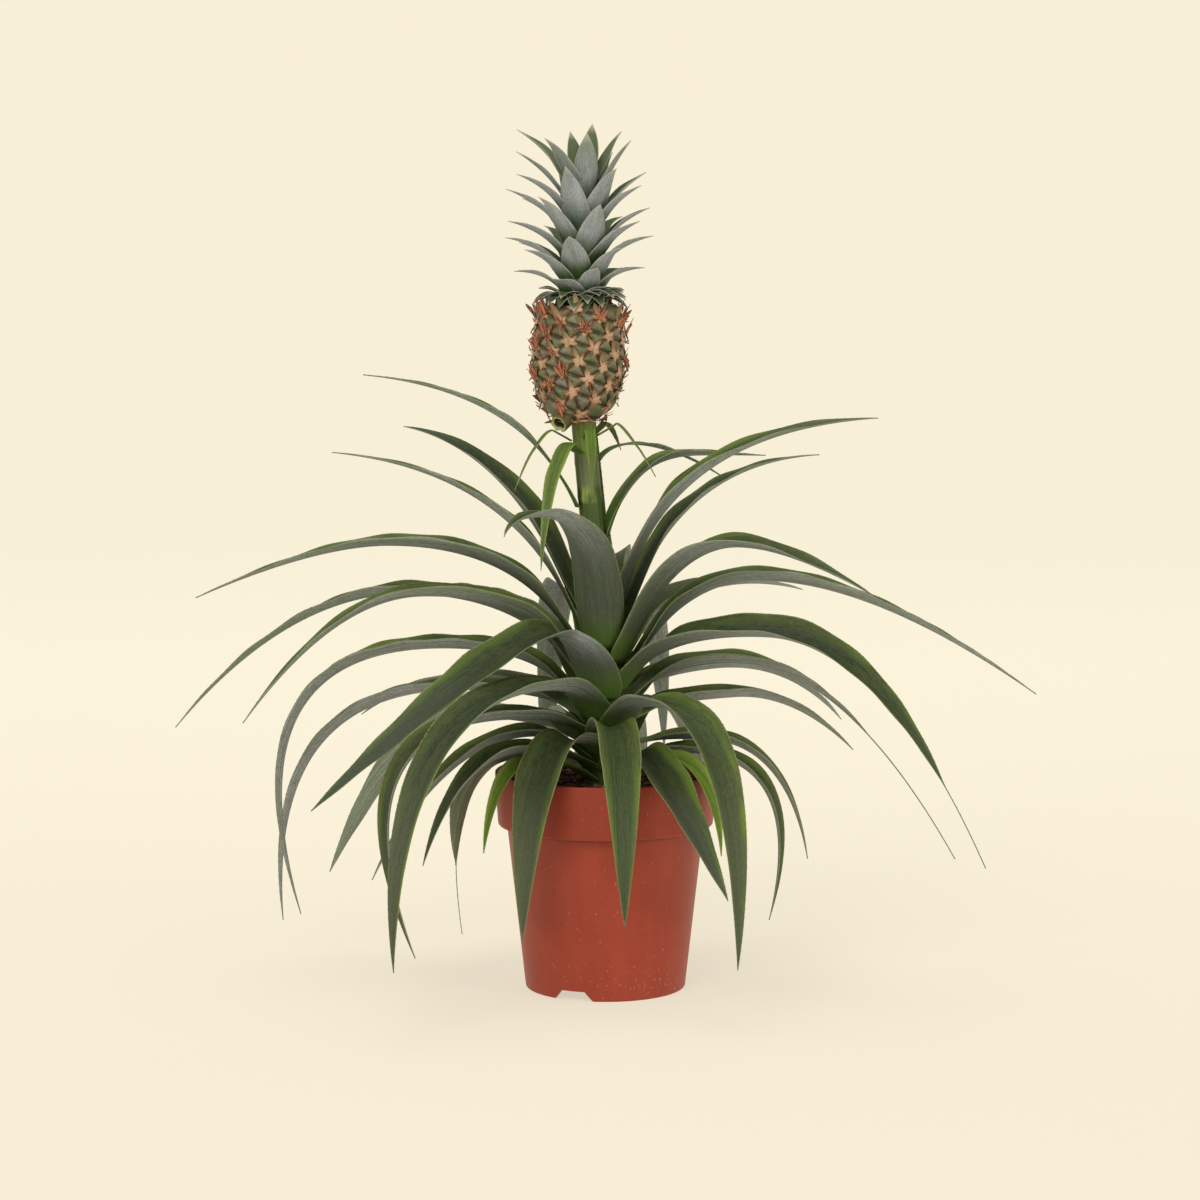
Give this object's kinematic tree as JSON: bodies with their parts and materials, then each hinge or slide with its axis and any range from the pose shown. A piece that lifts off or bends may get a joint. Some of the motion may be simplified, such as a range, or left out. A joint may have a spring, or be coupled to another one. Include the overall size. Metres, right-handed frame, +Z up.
{
  "type": "potted pineapple plant",
  "caption": "Small fruiting pineapple plant in a round nursery pot: arching channelled leaves round a stalk that carries one small crowned fruit.",
  "frame": {"origin": "middle of the pot's foot ring, on the surface that the pot stands on", "axes": "+Z up along the pot's axis; -Y is the front, the side that the picture shows; +X is right in that view"},
  "size_m": [0.4806, 0.3013, 0.4716],
  "materials": {
    "pot_plastic": "satin moulded plastic, terracotta colour",
    "soil": "loose coir and bark mix",
    "stem": "ribbed green stem",
    "leaf": "dark green above, silvery grey-green below",
    "bract": "bright green blade",
    "fruit_skin": "scaly skin with dry tan bracts and withered orange-red flowers",
    "crown_leaf": "silvery grey-green blade"
  },
  "bodies": {
    "root": {"pot": "pot_plastic", "soil": "soil", "stem": "stem", "leaf_01": "leaf", "leaf_02": "leaf", "leaf_03": "leaf", "leaf_04": "leaf", "leaf_05": "leaf", "leaf_06": "leaf", "leaf_07": "leaf", "leaf_08": "leaf", "leaf_09": "leaf", "leaf_10": "leaf", "leaf_11": "leaf", "leaf_12": "leaf", "leaf_13": "leaf", "leaf_14": "leaf", "leaf_15": "leaf", "leaf_16": "leaf", "leaf_17": "leaf", "leaf_18": "leaf", "leaf_19": "leaf", "leaf_20": "leaf", "leaf_21": "leaf", "leaf_22": "leaf", "leaf_23": "leaf", "leaf_24": "leaf", "leaf_25": "leaf", "leaf_26": "leaf", "leaf_27": "leaf", "leaf_28": "leaf", "leaf_29": "leaf", "leaf_30": "leaf", "leaf_31": "leaf", "leaf_32": "leaf", "leaf_33": "leaf", "leaf_34": "leaf", "leaf_35": "leaf", "leaf_36": "leaf", "leaf_37": "leaf", "leaf_38": "leaf", "leaf_39": "leaf", "leaf_40": "leaf", "leaf_41": "leaf", "leaf_42": "leaf", "stalk_leaf_1": "leaf", "stalk_leaf_2": "leaf", "stalk_leaf_3": "leaf", "stalk_leaf_4": "leaf", "bract_1": "bract", "bract_2": "bract", "bract_3": "bract", "bract_4": "bract", "bract_5": "bract", "fruit": "fruit_skin", "crown": "crown_leaf"}
  },
  "joints": []
}
